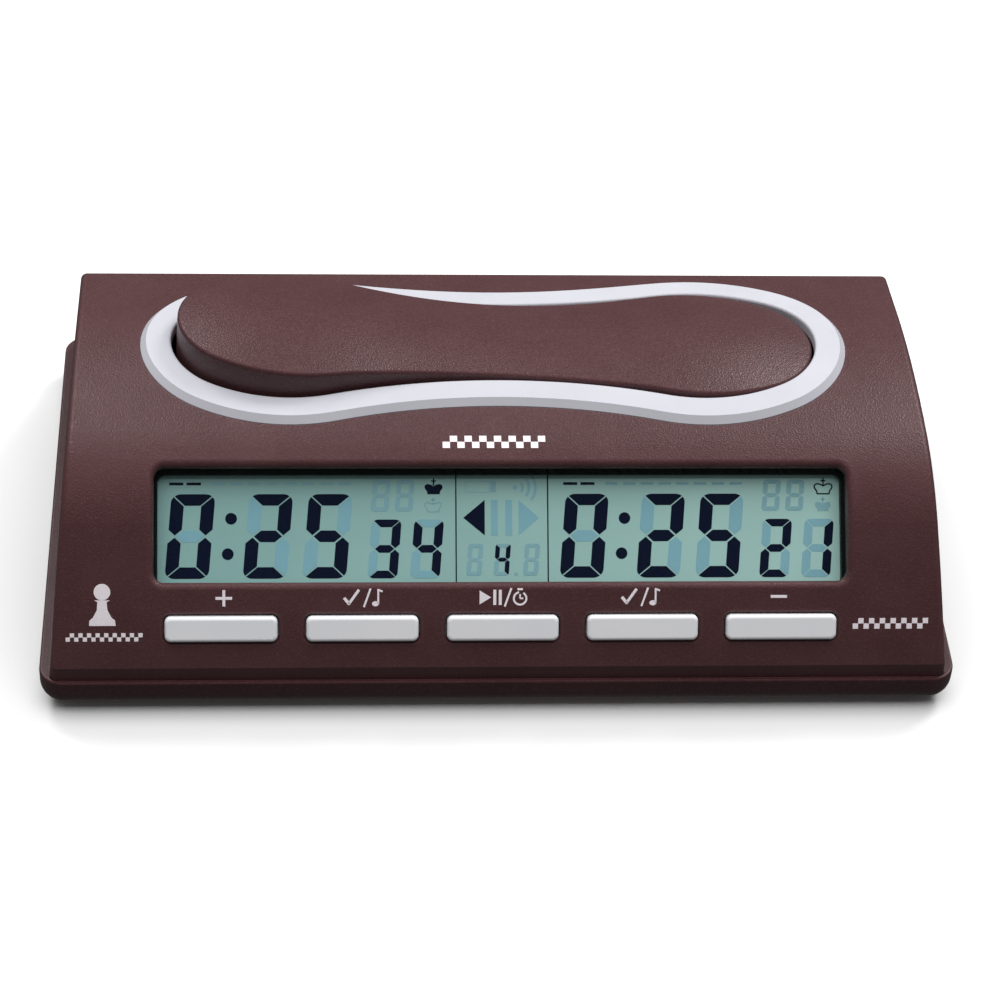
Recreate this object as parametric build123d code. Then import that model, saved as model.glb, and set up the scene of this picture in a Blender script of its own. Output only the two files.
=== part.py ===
from build123d import *
import os
from math import sin, cos, tan, radians, degrees, atan2

# Digital chess clock, in millimetres.
# X runs along the clock's length, -Y is the players' display side, +Z is up.
# The origin is the centre of the footprint, on the table.

# ---------------------------------------------------------------- driving sizes
LENGTH = 170.6              # base tray along X, at its back edge
DEPTH = 100.6               # base tray along Y
TRAY_TAPER = 0.8            # how far each front corner of the tray steps in
FOOT_HEIGHT = 1.0           # gap under the tray
RIM_Z = 8.0                 # top of the tray's rim
SEAT_Z = 6.0                # ledge in the tray that the top shell stands on
FLOOR = 2.4                 # thickness of the tray's floor
TRAY_CORNER = 4.5
TRAY_BELLY = 4.4            # rounding under the tray's edge
WALL = 2.2                  # top shell wall
FIT = 0.1                   # assembly clearance between fixed pieces

# Top shell, side view: a steep face, a shoulder, a crown and a sloping back.
SHELL_FRONT = -49.4
SHELL_BACK = 49.4
BAND_TOP = 11.0             # top of the upright band over the tray
BACK_BAND_TOP = 9.0
FACE_RADIUS = 110.8
SHOULDER_RADIUS = 27.0
CROWN_RADIUS = 102.0
FACE_SLOPE_LOW = 61.8       # degrees from level, at the bottom of the face
FACE_SLOPE_HIGH = 48.0      # where the face meets the shoulder
CROWN_SLOPE = 10.0          # at both ends of the crown
BACK_EDGE_Y = 32.2
BACK_EDGE_RADIUS = 1.5
SIDE_HALF_WIDTH = 83.2      # side walls, at table height
SIDE_DRAFT = 5.3            # degrees that the side walls lean inwards
EDGE_RADIUS = 1.2

# Peanut outline shared by the trim ring, its opening and the rocker.
RING_HALF_LENGTH = 65.8
RING_Y = 5.5                # centre line of the ring
LOBE_X = 38.6
LOBE_HALF_DEPTH = 21.5
LOBE_RADIUS = 35.8
WAIST_HALF_DEPTH = 16.9
RING_WIDTH = 4.7            # flat band, without the outer bevel
RING_BEVEL = 1.1
RING_PROUD = 1.2
RING_SUNK = 0.9
RING_INNER_RADIUS = 0.5

# Rocker: a convex lever over the whole ring opening, see-sawing on a cross pin.
ROCKER_GAP = 0.8            # all round, inside the ring
ROCKER_TILT = 3.35          # degrees from level to either stop
PIVOT_Z = 38.0
PIN_RADIUS = 1.5
RUNNING = 0.06              # radial clearance on the pin
ROCKER_DIP_RADIUS = 216.0   # the dip between the two domes, along X
ROCKER_DOME_RADIUS = 138.0
ROCKER_RISE = 6.8           # degrees, slope where the dip meets a dome
ROCKER_END = 9.0            # degrees, slope down past each end
ROCKER_CROSS_RADIUS = 61.0  # crown across the rocker
ROCKER_CROWN_Y = 2.3
ROCKER_DIP_Z = 44.85        # top of the rocker over the pin, level position
ROCKER_SKIRT_Z = 35.0
ROCKER_WALL = 1.7
ROCKER_TOP = 2.0
ROCKER_EDGE = 0.7

# Display, stacked along the normal of a plane laid across its opening.
DISPLAY_Y = -33.4
DISPLAY_Z = 31.65
DISPLAY_SLOPE = 43.3        # degrees from level
OPENING_WIDTH = 126.9
OPENING_HEIGHT = 20.8
OPENING_CORNER = 2.0
WINDOW_WIDTH = 130.4
WINDOW_HEIGHT = 23.8
WINDOW_DEPTH = 2.2          # from the opening's plane to the window's front
WINDOW_THICK = 1.2
MASK_THICK = 1.6
MASK_OPEN_WIDTH = 125.8
MASK_OPEN_HEIGHT = 20.4
MASK_OPEN_Y = -0.8          # the mask is wider along its top
GLASS_WIDTH = 129.0
GLASS_THICK = 1.1
REFLECTOR_THICK = 0.3
ZEBRA_LENGTH = 122.0
ZEBRA_HEIGHT = 2.6
BOARD_THICK = 1.6
LIP_RADIUS = 1.2            # rounding of the opening's outer edge

# Five keys along the bottom of the face.
KEY_COUNT = 5
KEY_PITCH = 25.6
KEY_WIDTH = 20.4
KEY_HEIGHT = 4.7
KEY_CORNER = 1.1
KEY_Z = 17.35
KEY_GAP = 0.25
KEY_PROUD = 0.9
KEY_DOME = 0.7
KEY_FLANGE = 1.0
KEY_STEM_END = -5.0
KEY_NAMES = ["plus", "confirm_left", "play_pause", "confirm_right", "minus"]
KEY_BOARD_DEPTH = 8.2       # key face to board
KEY_BOARD_THICK = 1.2

# One AA cell in the base, behind a sliding cover.
CELL_RADIUS = 7.1
CELL_LENGTH = 49.5
CELL_Y = 26.0
CELL_Z = 10.4
CELL_SHIFT = 1.5            # towards the flat contact, making room for the spring
CONTACT_THICK = 0.4
SPRING_WIRE = 0.35
BAY_HALF_LENGTH = 28.6
BAY_HALF_DEPTH = 8.3
BAY_WALL = 1.6
BAY_TOP = 19.2
COVER_THICK = 1.3
COVER_TRAVEL = 2.5          # frees the tongues; the cover then drops away
COVER_LIP = 3.0             # overlap of the cover past the bay's opening
TONGUE_LENGTH = 1.9
TONGUE_ROOM = 2.5

# Case screws, rubber feet and the underside.
CASE_SCREWS = [(-75.0, 37.0), (75.0, 37.0), (-75.0, -35.0), (75.0, -35.0)]
SCREW_RADIUS = 1.5
HEAD_RADIUS = 2.8
HEAD_SEAT_Z = 4.6
BOSS_RADIUS = 4.2
FEET = [(-65.0, 41.0), (65.0, 41.0), (-65.0, -41.0), (65.0, -41.0)]
FOOT_RADIUS = 5.0
FOOT_SUNK = 1.0
RIM_RADIUS = 0.4
LABEL_WIDTH = 60.0          # shallow recess for a rating label
LABEL_HALF_DEPTH = 9.0
LABEL_Y = -18.0
BUZZER = (56.0, 28.0)
BUZZER_RADIUS = 7.0
SOUND_HOLE = 0.8

# Rubber stops and the two plunger switches under the rocker.
STOP_X = 46.0
PAD_THICK = 2.0
PAD_RADIUS = 4.0
PAD_STEM = 1.8
RIB_HALF = 1.0
SWITCH_POST_X = 18.0
SWITCH_BOARD_Z = 17.0
SWITCH_NEAR = 5.0
SWITCH_LENGTH = 11.0
PADDLE_LOW = 22.0           # bottom of the rocker's paddle, level position
PADDLE_HALF = 1.5
PLUNGER_Z = 23.5
PLUNGER_RADIUS = 1.3
PLUNGER_SEAT = 5.5

# Circuit boards and the small screws that hold them.
COLLAR_WALL = 1.8           # frame behind the display opening
BOARD_POSTS = [(-67.0, -8.0), (67.0, -8.0), (-67.0, 9.0), (67.0, 9.0)]
BOARD_POST_RADIUS = 2.1
BOARD_WIDTH = 138.4
BOARD_LOW = -11.0
BOARD_HIGH = 14.5
KEY_POSTS = [-38.4, 38.4]
KEY_POST_RADIUS = 1.6
KEY_BOARD_WIDTH = 128.0
KEY_BOARD_HEIGHT = 7.4
KEY_SWITCH_HEIGHT = 2.2
PILOT_RADIUS = 0.9
SMALL_SCREW_RADIUS = 0.88
SMALL_HEAD_RADIUS = 1.8

FLOOR_TOP = FOOT_HEIGHT + FLOOR
BOARD_DEPTH = WINDOW_DEPTH + WINDOW_THICK + MASK_THICK + 2 * GLASS_THICK + REFLECTOR_THICK + ZEBRA_HEIGHT
SKIRT_FRONT = RING_Y - WAIST_HALF_DEPTH + RING_WIDTH + ROCKER_GAP
SKIRT_BACK = RING_Y + WAIST_HALF_DEPTH - RING_WIDTH - ROCKER_GAP
PIN_FRONT = SKIRT_FRONT - 5.0
PIN_BACK = SKIRT_BACK + 5.0


# ---------------------------------------------------------------- shared shapes
def block(x0, x1, y0, y1, z0, z1):
    """A box between two corners."""
    centre = ((x0 + x1) / 2, (y0 + y1) / 2, (z0 + z1) / 2)
    return Pos(*centre) * Box(x1 - x0, y1 - y0, z1 - z0)


def post(x, y, z0, z1, radius):
    """An upright cylinder from z0 to z1."""
    return Pos(x, y, (z0 + z1) / 2) * Cylinder(radius, z1 - z0)


def plate(width, height, z0, z1, corner=0.0, centre=(0.0, 0.0)):
    """A flat plate in local axes, from z0 to z1, with rounded corners."""
    outline = RectangleRounded(width, height, corner) if corner else Rectangle(width, height)
    return extrude(Pos(centre[0], centre[1], z0) * outline, amount=z1 - z0)


def side_profile():
    """The top shell's side view in the YZ plane, run on below the tray's seat."""
    below = -10.0
    steep = radians(FACE_SLOPE_LOW)
    face_turn = FACE_SLOPE_HIGH - FACE_SLOPE_LOW
    shoulder_turn = CROWN_SLOPE - FACE_SLOPE_HIGH
    band = Line((SHELL_FRONT, below), (SHELL_FRONT, BAND_TOP))
    face = JernArc(band @ 1, (cos(steep), sin(steep)), FACE_RADIUS, face_turn)
    shoulder = JernArc(face @ 1, face % 1, SHOULDER_RADIUS, shoulder_turn)
    crown = JernArc(shoulder @ 1, shoulder % 1, CROWN_RADIUS, -2 * CROWN_SLOPE)
    drop = (BACK_EDGE_Y - (crown @ 1).X) * tan(radians(CROWN_SLOPE))
    edge = (BACK_EDGE_Y, (crown @ 1).Y - drop)
    rest = Polyline(crown @ 1, edge, (SHELL_BACK, BACK_BAND_TOP), (SHELL_BACK, below), (SHELL_FRONT, below))
    outline = make_face([band, face, shoulder, crown, rest])
    corner = outline.vertices().sort_by_distance(edge)[0]
    return fillet(corner, BACK_EDGE_RADIUS)


def side_prism(grow):
    """The side view grown outwards by some amount and run along X."""
    outline = side_profile()
    if grow:
        outline = offset(outline, amount=grow, kind=Kind.INTERSECTION)
    return extrude(Plane.YZ * outline, amount=LENGTH, both=True)


def drafted_walls(grow):
    """The space between the two leaning side walls."""
    low, high = -12.0, 60.0
    half_low = SIDE_HALF_WIDTH + grow - low * tan(radians(SIDE_DRAFT))
    half_high = SIDE_HALF_WIDTH + grow - high * tan(radians(SIDE_DRAFT))
    corners = [(-half_low, low), (half_low, low), (half_high, high), (-half_high, high)]
    return extrude(Plane.XZ * make_face(Polyline(*corners, close=True)), amount=DEPTH, both=True)


def peanut(inset):
    """The waisted outline of tangent arcs around the rocker, inset from the ring's top edge."""
    reach = RING_HALF_LENGTH - LOBE_X
    lobe_y = LOBE_RADIUS - LOBE_HALF_DEPTH
    end_radius = (LOBE_RADIUS**2 - reach**2 - lobe_y**2) / (2 * (LOBE_RADIUS - reach))
    end_x = RING_HALF_LENGTH - end_radius
    rise = lobe_y + WAIST_HALF_DEPTH
    waist_radius = (LOBE_X**2 + rise**2 - LOBE_RADIUS**2) / (2 * (LOBE_RADIUS - rise))
    end_turn = degrees(atan2(lobe_y, end_x - LOBE_X))
    waist_turn = degrees(atan2(LOBE_X, rise + waist_radius))
    waist_y = WAIST_HALF_DEPTH + waist_radius
    arcs = [
        CenterArc((end_x, 0), end_radius - inset, -end_turn, 2 * end_turn),
        CenterArc((-end_x, 0), end_radius - inset, 180 - end_turn, 2 * end_turn),
        CenterArc((0, -waist_y), waist_radius + inset, 90 - waist_turn, 2 * waist_turn),
        CenterArc((0, waist_y), waist_radius + inset, 270 - waist_turn, 2 * waist_turn),
    ]
    lobe_turn = 90 + waist_turn - end_turn
    for side, half_turn in ((1, 0), (-1, 180)):
        x = side * LOBE_X
        y = side * lobe_y
        arcs.append(CenterArc((x, y), LOBE_RADIUS - inset, 270 - waist_turn + half_turn, lobe_turn))
        arcs.append(CenterArc((x, -y), LOBE_RADIUS - inset, end_turn + half_turn, lobe_turn))
    return Pos(0, RING_Y) * make_face(arcs)


def peanut_prism(inset, z0, z1):
    """The peanut outline as an upright prism."""
    return extrude(Pos(0, 0, z0) * peanut(inset), amount=z1 - z0)


def display_plane():
    """Local axes of the display: X along the clock, Y up the slope, Z outwards."""
    lean = radians(DISPLAY_SLOPE)
    return Plane(origin=(0, DISPLAY_Y, DISPLAY_Z), x_dir=(1, 0, 0), z_dir=(0, -sin(lean), cos(lean)))


def face_at(height):
    """Y and slope in degrees of the curved face at a height above the table."""
    steep = radians(FACE_SLOPE_LOW)
    here = cos(steep) + (height - BAND_TOP) / FACE_RADIUS
    y = SHELL_FRONT + FACE_RADIUS * (sin(steep) - (1 - here**2) ** 0.5)
    return y, degrees(atan2((1 - here**2) ** 0.5, here))


def key_plane(x):
    """Local axes of one key: Z outwards from the face."""
    y, slope = face_at(KEY_Z)
    lean = radians(slope)
    return Plane(origin=(x, y, KEY_Z), x_dir=(1, 0, 0), z_dir=(0, -sin(lean), cos(lean)))


def key_x(index):
    return (index - (KEY_COUNT - 1) / 2) * KEY_PITCH


def tilt(shape):
    """Turn a level rocker part to its rest: the left end up, the right end down."""
    return Pos(0, 0, PIVOT_Z) * Rot(0, ROCKER_TILT, 0) * Pos(0, 0, -PIVOT_Z) * shape


# ---------------------------------------------------------------- case
def shell_outside():
    """The top shell as a solid lump, with softened side edges."""
    lump = side_prism(0) & drafted_walls(0)
    lump &= block(-LENGTH, LENGTH, -DEPTH, DEPTH, SEAT_Z, 2 * LENGTH)
    walls = lump.faces().filter_by(lambda face: abs(face.normal_at().X) > 0.9)
    rims = [edge for face in walls for edge in face.edges() if edge.center().Z > SEAT_Z + 0.1]
    return fillet(rims, EDGE_RADIUS)


def key_opening(x):
    """The hole for one key, with a small bevel on the outside."""
    width = KEY_WIDTH + 2 * KEY_GAP
    height = KEY_HEIGHT + 2 * KEY_GAP
    bevel = 0.45
    hole = plate(width, height, -3 * WALL, WALL, KEY_CORNER + KEY_GAP)
    mouth = extrude(Pos(0, 0, -bevel) * RectangleRounded(width, height, KEY_CORNER + KEY_GAP),
                    amount=1.2, taper=-45)
    return key_plane(x) * (hole + mouth)


def collar():
    """Frame behind the display opening that the window and mask drop into."""
    back = -(WINDOW_DEPTH + WINDOW_THICK + MASK_THICK)
    around = 2 * COLLAR_WALL
    frame = plate(WINDOW_WIDTH + around, WINDOW_HEIGHT + around, back, 1.0, OPENING_CORNER)
    return display_plane() * frame


def board_posts():
    """Stand-offs from the top shell for the main board and the key board."""
    posts = Part()
    for x, y in BOARD_POSTS:
        posts += display_plane() * Pos(x, y, 0) * post(0, 0, -BOARD_DEPTH, 0.5, BOARD_POST_RADIUS)
    for x in KEY_POSTS:
        posts += key_plane(x) * post(0, 0, -KEY_BOARD_DEPTH, -1.0, KEY_POST_RADIUS)
    return posts


def pin_bosses():
    """Two blocks under the crown that hold the rocker's pin."""
    half = PIN_RADIUS + 3.0
    bosses = Part()
    for y0, y1 in ((PIN_FRONT - 1.0, SKIRT_FRONT - 1.2), (SKIRT_BACK + 1.2, PIN_BACK + 1.0)):
        bosses += block(-half, half, y0, y1, PIVOT_Z - half, 60)
    return bosses


def pin_bore(radius):
    """The space of the rocker's pin, just longer than the pin."""
    length = PIN_BACK - PIN_FRONT + 0.2
    return Pos(0, (PIN_FRONT + PIN_BACK) / 2, PIVOT_Z) * Rot(90, 0, 0) * Cylinder(radius, length)


def opening_rim(shell):
    """The shell's outer edges around the display opening."""
    frame = display_plane()
    rim = []
    for edge in shell.edges():
        spot = frame.to_local_coords(edge.center())
        near_x = abs(spot.X) < OPENING_WIDTH / 2 + 0.05
        near_y = abs(spot.Y) < OPENING_HEIGHT / 2 + 0.05
        if near_x and near_y and spot.Z > -WINDOW_DEPTH / 2:
            rim.append(edge)
    return rim


def top_shell():
    outside = shell_outside()
    shell = outside - (side_prism(-WALL) & drafted_walls(-WALL))
    inside_parts = collar() + board_posts() + pin_bosses()
    for x, y in CASE_SCREWS:
        inside_parts += post(x, y, RIM_Z + 0.2, 60, BOSS_RADIUS)
    shell += inside_parts & outside
    shell -= display_plane() * plate(OPENING_WIDTH, OPENING_HEIGHT, -8, 6, OPENING_CORNER)
    shell = fillet(opening_rim(shell), LIP_RADIUS)
    shell -= peanut_prism(RING_WIDTH - 0.3, PIVOT_Z - 4, 60)
    shell -= peanut_prism(-RING_BEVEL - FIT, PIVOT_Z, 60) - side_prism(-RING_SUNK)
    pocket = plate(WINDOW_WIDTH + 2 * FIT, WINDOW_HEIGHT + 2 * FIT, -8, -WINDOW_DEPTH, OPENING_CORNER)
    shell -= display_plane() * pocket
    for index in range(KEY_COUNT):
        shell -= key_opening(key_x(index))
    shell -= pin_bore(PIN_RADIUS + 0.02)
    for x, y in CASE_SCREWS:
        shell -= post(x, y, 0, RIM_Z + 12, SCREW_RADIUS + 0.02)
    for x, y in BOARD_POSTS:
        shell -= display_plane() * Pos(x, y, 0) * post(0, 0, -BOARD_DEPTH - 1, -BOARD_DEPTH + 5, PILOT_RADIUS)
    for x in KEY_POSTS:
        shell -= key_plane(x) * post(0, 0, -KEY_BOARD_DEPTH - 1, -KEY_BOARD_DEPTH + 5, PILOT_RADIUS)
    return shell


def upright_faces(solid):
    """The walls of a solid that is a prism cut by curved tops."""
    return solid.faces().filter_by(lambda face: abs(face.normal_at().Z) < 0.05)


def top_edges(faces, above):
    """Edges of some walls that run along their tops."""
    edges = [edge for face in faces for edge in face.edges()]
    return [edge for edge in edges if edge.center().Z > above and abs((edge % 0.5).Z) < 0.7]


def trim_ring():
    """White band round the rocker opening, following the crown."""
    lump = peanut_prism(-RING_BEVEL, PIVOT_Z, 60) & side_prism(RING_PROUD)
    lump = chamfer(top_edges(upright_faces(lump), PIVOT_Z + 2), RING_BEVEL)
    band = lump - peanut_prism(RING_WIDTH, 0, 60)
    middle = Vector(0, RING_Y, PIVOT_Z)
    inner = [face for face in upright_faces(band) if face.normal_at().dot(face.center() - middle) < 0]
    band = fillet(top_edges(inner, PIVOT_Z + 2), RING_INNER_RADIUS)
    return band - side_prism(-RING_SUNK)


def base_tray():
    back = LENGTH / 2
    front = back - TRAY_TAPER
    corners = [(-front, -DEPTH / 2), (front, -DEPTH / 2), (back, DEPTH / 2), (-back, DEPTH / 2)]
    outline = make_face(Polyline(*corners, close=True))
    outline = fillet(outline.vertices(), TRAY_CORNER)
    tray = extrude(Pos(0, 0, FOOT_HEIGHT) * outline, amount=RIM_Z - FOOT_HEIGHT)
    tray = fillet(tray.edges().filter_by(lambda edge: edge.center().Z < FOOT_HEIGHT + 0.1), TRAY_BELLY)
    rim = tray.edges().filter_by(lambda edge: edge.center().Z > RIM_Z - 0.1)
    tray = fillet(rim, RIM_RADIUS)
    seat = side_prism(FIT) & drafted_walls(FIT) & block(-LENGTH, LENGTH, -DEPTH, DEPTH, SEAT_Z, RIM_Z + 1)
    seat_corners = seat.edges().filter_by(lambda edge: abs((edge % 0.5).Z) > 0.9)
    tray -= fillet(seat_corners, EDGE_RADIUS + FIT)
    hollow = side_prism(-WALL - FIT) & drafted_walls(-WALL - FIT)
    tray -= hollow & block(-LENGTH, LENGTH, -DEPTH, DEPTH, FLOOR_TOP, RIM_Z + 1)
    for x, y in CASE_SCREWS:
        tray += post(x, y, FLOOR_TOP - 1, RIM_Z, BOSS_RADIUS + 0.4)
        tray -= post(x, y, 0, HEAD_SEAT_Z, HEAD_RADIUS + 0.3)
        tray -= post(x, y, 0, RIM_Z + 1, SCREW_RADIUS + 0.3)
    for x, y in FEET:
        tray -= post(x, y, 0, FOOT_HEIGHT + FOOT_SUNK, FOOT_RADIUS + FIT)
    tray += battery_bay()
    tray -= battery_opening()
    for side in (-1, 1):
        tray += post(side * STOP_X, RING_Y, FLOOR_TOP - 1, stop_top() - PAD_THICK, PAD_RADIUS)
        tray -= post(side * STOP_X, RING_Y, stop_top() - PAD_THICK - 6, 60, PAD_STEM + FIT)
        tray += post(side * SWITCH_POST_X, RING_Y, FLOOR_TOP - 1, SWITCH_BOARD_Z, 3.0)
        tray -= post(side * SWITCH_POST_X, RING_Y, SWITCH_BOARD_Z - 5, 60, PILOT_RADIUS)
    x, y = BUZZER
    tray += post(x, y, FLOOR_TOP - 1, FLOOR_TOP + 3, BUZZER_RADIUS + 1.6)
    tray -= post(x, y, FLOOR_TOP, 60, BUZZER_RADIUS + FIT)
    tray -= sound_holes()
    tray -= block(-LABEL_WIDTH / 2, LABEL_WIDTH / 2, LABEL_Y - LABEL_HALF_DEPTH, LABEL_Y + LABEL_HALF_DEPTH,
                  0, FOOT_HEIGHT + 0.3)
    return tray


def battery_bay():
    """Upright walls and a roof around the cell, inside the tray."""
    reach = BAY_HALF_LENGTH + BAY_WALL
    back = CELL_Y + BAY_HALF_DEPTH
    outer = block(-reach, reach, CELL_Y - BAY_HALF_DEPTH - BAY_WALL, back + TONGUE_ROOM + BAY_WALL,
                  FLOOR_TOP - 1, BAY_TOP + BAY_WALL)
    inner = block(-BAY_HALF_LENGTH, BAY_HALF_LENGTH, CELL_Y - BAY_HALF_DEPTH, back + TONGUE_ROOM,
                  FLOOR_TOP - 2, BAY_TOP)
    ledge = block(-BAY_HALF_LENGTH, BAY_HALF_LENGTH, back, back + TONGUE_ROOM, FLOOR_TOP - 1, FLOOR_TOP)
    return outer - inner + ledge


def battery_opening():
    """The bay's opening in the floor and the recess that the cover slides in."""
    back = CELL_Y + BAY_HALF_DEPTH
    front = CELL_Y - BAY_HALF_DEPTH
    hole = block(-BAY_HALF_LENGTH, BAY_HALF_LENGTH, front, back, 0, FLOOR_TOP + 1)
    recess = block(-cover_half_length() - 0.3, cover_half_length() + 0.3,
                   front - COVER_LIP - COVER_TRAVEL - 0.5, back + COVER_LIP + 0.3,
                   0, FOOT_HEIGHT + COVER_THICK + FIT)
    return hole + recess


def cover_half_length():
    return BAY_HALF_LENGTH + COVER_LIP


def sound_holes():
    """One hole in the middle of the buzzer and six around it."""
    x, y = BUZZER
    holes = post(x, y, 0, FLOOR_TOP + 1, SOUND_HOLE)
    for spot in PolarLocations(3.2, 6):
        holes += Pos(x, y, 0) * spot * post(0, 0, 0, FLOOR_TOP + 1, SOUND_HOLE)
    return holes


def rubber_feet():
    feet = Part()
    for x, y in FEET:
        foot = post(x, y, 0, FOOT_HEIGHT + FOOT_SUNK, FOOT_RADIUS)
        sole = foot.edges().filter_by(lambda edge: edge.center().Z < 0.1)
        feet += fillet(sole, 0.4)
    return feet


def case_screws():
    """Self-tapping screws up through the tray into the top shell's bosses."""
    screws = Part()
    for x, y in CASE_SCREWS:
        head = post(x, y, HEAD_SEAT_Z - 1.8, HEAD_SEAT_Z, HEAD_RADIUS)
        head -= block(x - 2, x + 2, y - 0.35, y + 0.35, 0, HEAD_SEAT_Z - 0.9)
        head -= block(x - 0.35, x + 0.35, y - 2, y + 2, 0, HEAD_SEAT_Z - 0.9)
        screws += head + post(x, y, HEAD_SEAT_Z, RIM_Z + 9, SCREW_RADIUS)
    return screws


# ---------------------------------------------------------------- rocker
def rocker_top(lower):
    """Everything under the rocker's double-curved top, lowered by some amount."""
    rise = radians(ROCKER_RISE)
    end = radians(ROCKER_END)
    dome_turn = -ROCKER_RISE - ROCKER_END
    x = ROCKER_DIP_RADIUS * sin(rise) + ROCKER_DOME_RADIUS * (sin(rise) + sin(end))
    z = ROCKER_DIP_RADIUS * (1 - cos(rise)) + ROCKER_DOME_RADIUS * (cos(end) - cos(rise))
    start = (-x, ROCKER_DIP_Z - lower + z)
    dome = JernArc(start, (cos(end), sin(end)), ROCKER_DOME_RADIUS, dome_turn)
    dip = JernArc(dome @ 1, dome % 1, ROCKER_DIP_RADIUS, 2 * ROCKER_RISE)
    far_dome = JernArc(dip @ 1, dip % 1, ROCKER_DOME_RADIUS, dome_turn)
    path = Plane.XZ * Wire([dome, dip, far_dome])
    half = 24.0
    deep = 30.0
    rim = -ROCKER_CROSS_RADIUS + (ROCKER_CROSS_RADIUS**2 - half**2) ** 0.5
    crown = ThreePointArc((-half, rim), (0, 0), (half, rim))
    sides = Polyline((half, rim), (half, -deep), (-half, -deep), (-half, rim))
    section = Pos(ROCKER_CROWN_Y, 0) * make_face([crown, sides])
    cut = Plane(origin=path @ 0, x_dir=(0, 1, 0), z_dir=path % 0)
    return sweep(cut * section, path=path)


def rocker():
    """The players' lever: a hollow cap with ribs, a hub on the pin and a switch paddle."""
    margin = RING_WIDTH + ROCKER_GAP
    cap = rocker_top(0) & peanut_prism(margin, ROCKER_SKIRT_Z, 60)
    cap = fillet(top_edges(upright_faces(cap), ROCKER_SKIRT_Z + 4), ROCKER_EDGE)
    lever = cap - (rocker_top(ROCKER_TOP) & peanut_prism(margin + ROCKER_WALL, 0, 60))
    ribs = block(-STOP_X, STOP_X, RING_Y - 0.8, RING_Y + 0.8, PIVOT_Z, 60)
    for side in (-1, 1):
        x = side * STOP_X
        ribs += block(x - RIB_HALF, x + RIB_HALF, -DEPTH, DEPTH, ROCKER_SKIRT_Z, 60)
    lever += ribs & cap
    hub = Pos(0, (SKIRT_FRONT + SKIRT_BACK) / 2, PIVOT_Z) * Rot(90, 0, 0)
    lever += hub * Cylinder(PIN_RADIUS + 2.0, SKIRT_BACK - SKIRT_FRONT - 0.4)
    lever += block(-PADDLE_HALF, PADDLE_HALF, RING_Y - 3.5, RING_Y + 3.5, PADDLE_LOW, PIVOT_Z)
    lever -= pin_bore(PIN_RADIUS + RUNNING)
    return tilt(lever)


def rocker_pin():
    pin = Rot(90, 0, 0) * Cylinder(PIN_RADIUS, PIN_BACK - PIN_FRONT)
    pin = chamfer(pin.edges(), 0.3)
    return Pos(0, (PIN_FRONT + PIN_BACK) / 2, PIVOT_Z) * pin


def stop_top():
    """Height of the rubber stops, just under the lowered rib of the rocker."""
    turn = radians(ROCKER_TILT)
    low = PIVOT_Z + (ROCKER_SKIRT_Z - PIVOT_Z) * cos(turn) - (STOP_X + RIB_HALF) * sin(turn)
    return low - 0.05


def stop_pads():
    """Rubber buttons on two posts, one under each half of the rocker."""
    pads = Part()
    for side in (-1, 1):
        x = side * STOP_X
        pad = post(x, RING_Y, stop_top() - PAD_THICK, stop_top(), PAD_RADIUS)
        pads += pad + post(x, RING_Y, stop_top() - PAD_THICK - 4, stop_top() - 1, PAD_STEM)
    return pads


def switch_board():
    board = plate(48, 15, SWITCH_BOARD_Z, SWITCH_BOARD_Z + KEY_BOARD_THICK, 1.0, (0, RING_Y))
    for side in (-1, 1):
        board -= post(side * SWITCH_POST_X, RING_Y, 0, 60, SMALL_SCREW_RADIUS + 0.1)
    return board


def switch_housing(side):
    """Case of one plunger switch; side is -1 on the left and 1 on the right."""
    low = SWITCH_BOARD_Z + KEY_BOARD_THICK
    near = side * SWITCH_NEAR
    far = side * (SWITCH_NEAR + SWITCH_LENGTH)
    case = block(min(near, far), max(near, far), RING_Y - 4.5, RING_Y + 4.5, low, PLUNGER_Z + 3.5)
    case = fillet(case.edges().filter_by(Axis.X), 0.6)
    bore_end = far - side * 1.2
    bore = Rot(0, 90, 0) * Cylinder(PLUNGER_RADIUS + FIT, abs(bore_end - near))
    return case - Pos((near + bore_end) / 2, RING_Y, PLUNGER_Z) * bore


def switch_plunger(side):
    """Round plunger that follows the rocker's paddle."""
    turn = radians(ROCKER_TILT)
    paddle_x = (PLUNGER_Z - PIVOT_Z) * sin(turn) + side * (PADDLE_HALF / cos(turn) + 0.2)
    far = side * (SWITCH_NEAR + PLUNGER_SEAT)
    length = abs(far - paddle_x)
    plunger = Rot(0, 90, 0) * Cylinder(PLUNGER_RADIUS, length)
    plunger = fillet(plunger.edges(), 0.3)
    return Pos((far + paddle_x) / 2, RING_Y, PLUNGER_Z) * plunger


# ---------------------------------------------------------------- display
def display_window():
    return display_plane() * plate(WINDOW_WIDTH, WINDOW_HEIGHT, -WINDOW_DEPTH - WINDOW_THICK, -WINDOW_DEPTH,
                                   OPENING_CORNER)


def display_mask():
    """Dark frame between the window and the glass."""
    front = -WINDOW_DEPTH - WINDOW_THICK
    frame = plate(WINDOW_WIDTH, WINDOW_HEIGHT, front - MASK_THICK, front, OPENING_CORNER)
    hole = plate(MASK_OPEN_WIDTH, MASK_OPEN_HEIGHT, front - 2 * MASK_THICK, front + 1, 1.5, (0, MASK_OPEN_Y))
    return display_plane() * (frame - hole)


def display_layer(index, thick, shorter):
    """One sheet of the liquid crystal stack; index counts inwards from the mask."""
    front = -(WINDOW_DEPTH + WINDOW_THICK + MASK_THICK) - index * GLASS_THICK
    return display_plane() * plate(GLASS_WIDTH, WINDOW_HEIGHT - shorter, front - thick, front, 0.3)


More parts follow.
